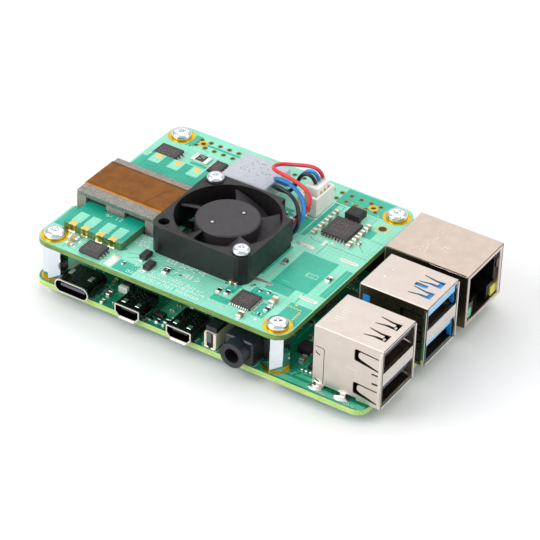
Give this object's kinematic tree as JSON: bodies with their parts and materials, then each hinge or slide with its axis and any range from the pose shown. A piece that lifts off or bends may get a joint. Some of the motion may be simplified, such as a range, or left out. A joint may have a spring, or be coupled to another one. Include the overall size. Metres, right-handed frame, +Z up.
{
  "type": "single board computer",
  "caption": "Single board computer with socketed edges, and a fan-cooled power board stacked on hex standoffs above it.",
  "frame": {"origin": "middle of the footprint, on the surface the lower screws' heads stand on", "axes": "+X towards the end with the network and USB sockets, +Y towards the pin header edge, +Z up"},
  "size_m": [0.0878, 0.059, 0.0227],
  "materials": {
    "board_green": "solder mask on glass laminate, satin",
    "mask_green": "light solder mask over copper pour, satin",
    "nickel": "nickel plated stamped sheet, satin",
    "zinc": "bright plated steel",
    "black_plastic": "moulded, satin",
    "grey_plastic": "moulded, fine grain",
    "cream_plastic": "moulded, satin",
    "white_plastic": "moulded, satin",
    "blue_plastic": "moulded, satin",
    "package_black": "moulded epoxy, matt",
    "ferrite": "ground ferrite, matt",
    "choke_grey": "pressed iron powder with grey coat, matt",
    "amber_tape": "amber film tape, satin",
    "brass": "sintered, satin",
    "copper": "enamelled copper winding",
    "red_sleeve": "soft insulation, satin",
    "blue_sleeve": "soft insulation, satin",
    "black_sleeve": "soft insulation, satin"
  },
  "bodies": {
    "computer": {"main_board": "board_green", "processor": "nickel", "memory_chip": "package_black", "wireless_shield": "nickel", "usb_controller": "package_black", "usb_c_shell": "nickel", "usb_c_tongue": "black_plastic", "video_shell_left": "nickel", "video_tongue_left": "black_plastic", "video_shell_right": "nickel", "video_tongue_right": "black_plastic", "audio_jack": "black_plastic", "camera_connector": "cream_plastic", "display_connector": "cream_plastic", "usb2_shell": "nickel", "usb2_insert": "black_plastic", "usb3_shell": "nickel", "usb3_insert": "blue_plastic", "network_shell": "nickel", "network_insert": "black_plastic", "pin_header": "black_plastic", "power_header": "black_plastic", "card_socket": "nickel", "top_board": "mask_green", "header_socket": "black_plastic", "power_socket": "black_plastic", "standoff_front_left": "zinc", "standoff_front_right": "zinc", "standoff_back_left": "zinc", "standoff_back_right": "zinc", "top_screw_front_left": "zinc", "top_screw_front_right": "zinc", "top_screw_back_left": "zinc", "top_screw_back_right": "zinc", "bottom_screw_front_left": "zinc", "bottom_screw_front_right": "zinc", "bottom_screw_back_left": "zinc", "bottom_screw_back_right": "zinc", "fan_frame": "black_plastic", "fan_stator": "copper", "fan_bearing": "brass", "fan_screw_near": "zinc", "fan_screw_far": "zinc", "transformer_core": "ferrite", "transformer_plate": "ferrite", "transformer_winding": "mask_green", "transformer_tape": "amber_tape", "power_inductor": "choke_grey", "fan_header": "white_plastic", "fan_plug": "white_plastic", "lead_red": "red_sleeve", "lead_blue": "blue_sleeve", "lead_black": "black_sleeve", "converter_chip": "package_black", "controller_chip": "package_black", "switch_transistor": "package_black"},
    "fan_wheel": {"fan_rotor": "grey_plastic", "fan_shaft": "zinc"},
    "camera_catch": {"camera_latch": "black_plastic"},
    "display_catch": {"display_latch": "black_plastic"}
  },
  "joints": [
    {"name": "fan_spin", "type": "hinge", "parent": "computer", "child": "fan_wheel", "pos_m": [-0.00795, -0.004, 0.0175], "axis": [0, 0, 1], "continuous": true},
    {"name": "camera_latch_lift", "type": "slide", "parent": "computer", "child": "camera_catch", "axis": [0, 0, 1], "range_m": [0, 0.001]},
    {"name": "display_latch_lift", "type": "slide", "parent": "computer", "child": "display_catch", "axis": [0, 0, 1], "range_m": [0, 0.001]}
  ]
}
